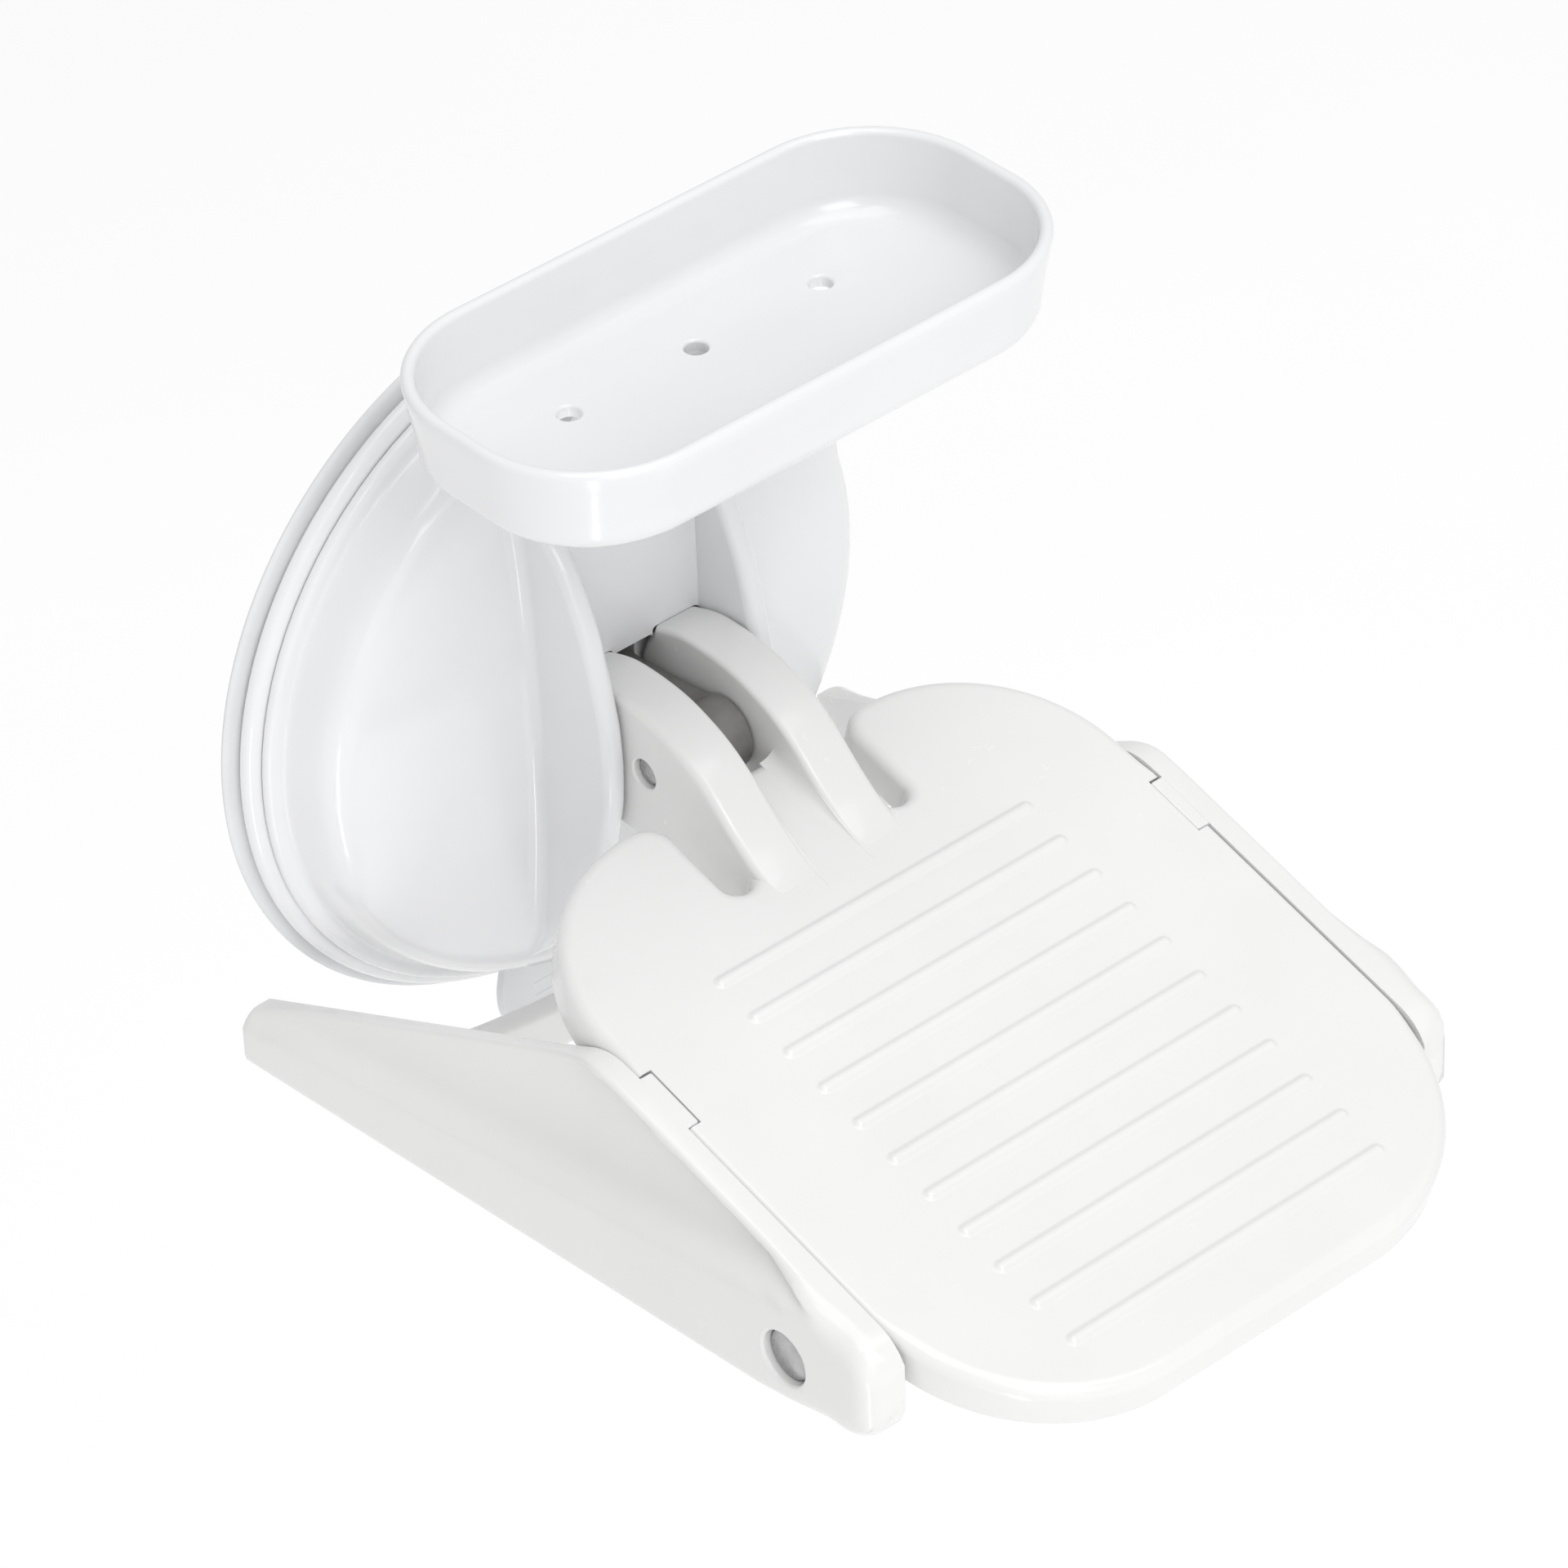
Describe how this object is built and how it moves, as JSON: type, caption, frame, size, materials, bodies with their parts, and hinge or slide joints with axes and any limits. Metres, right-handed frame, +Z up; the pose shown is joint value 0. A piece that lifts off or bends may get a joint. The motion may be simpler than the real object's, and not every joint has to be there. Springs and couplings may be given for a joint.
{
  "type": "suction-mounted shower foot rest",
  "caption": "Ribbed white foot rest on a lever suction mount for a shower wall, with a swinging wall brace under the plate and an oval soap dish above.",
  "frame": {"origin": "centre of the suction pad's wall face, on the wall plane", "axes": "+Y into the wall, so the object stands out towards -Y; +Z up; +X along the wall"},
  "size_m": [0.132, 0.1722, 0.1696],
  "materials": {
    "cool_white_plastic": "gloss, faintly cool white",
    "warm_white_plastic": "gloss, faintly warm white",
    "clear_grey_rubber": "smooth translucent grey",
    "grey_nylon": "satin grey",
    "steel": "turned, bright"
  },
  "bodies": {
    "base": {"suction_pad": "clear_grey_rubber", "clamp_ring": "cool_white_plastic", "ring_screw_1": "steel", "ring_screw_2": "steel", "ring_screw_3": "steel", "ring_screw_4": "steel", "dome_cover": "cool_white_plastic", "dish_bracket": "cool_white_plastic", "bracket_screw_1": "steel", "bracket_screw_2": "steel", "soap_dish": "cool_white_plastic", "dish_screw_1": "steel", "dish_screw_2": "steel"},
    "stud": {"pull_stud": "grey_nylon", "hinge_pin": "steel"},
    "foot_plate": {"foot_plate": "warm_white_plastic", "brace_pin_left": "steel", "brace_pin_right": "steel", "pin_clip_left": "steel", "pin_clip_right": "steel"},
    "brace": {"brace": "warm_white_plastic"}
  },
  "joints": [
    {"name": "stud_slide", "type": "slide", "parent": "base", "child": "stud", "axis": [0, 1, 0], "range_m": [0, 0.00446]},
    {"name": "plate_lift", "type": "hinge", "parent": "stud", "child": "foot_plate", "pos_m": [0, -0.04275, 0], "axis": [-1, 0, 0], "range_deg": [0, 75]},
    {"name": "brace_swing", "type": "hinge", "parent": "foot_plate", "child": "brace", "pos_m": [0, -0.12899, -0.03824], "axis": [-1, 0, 0], "range_deg": [0, 90]}
  ],
  "couplings": [
    {"joint": "stud_slide", "follows": "plate_lift", "m_per_rad": 0.0034}
  ]
}
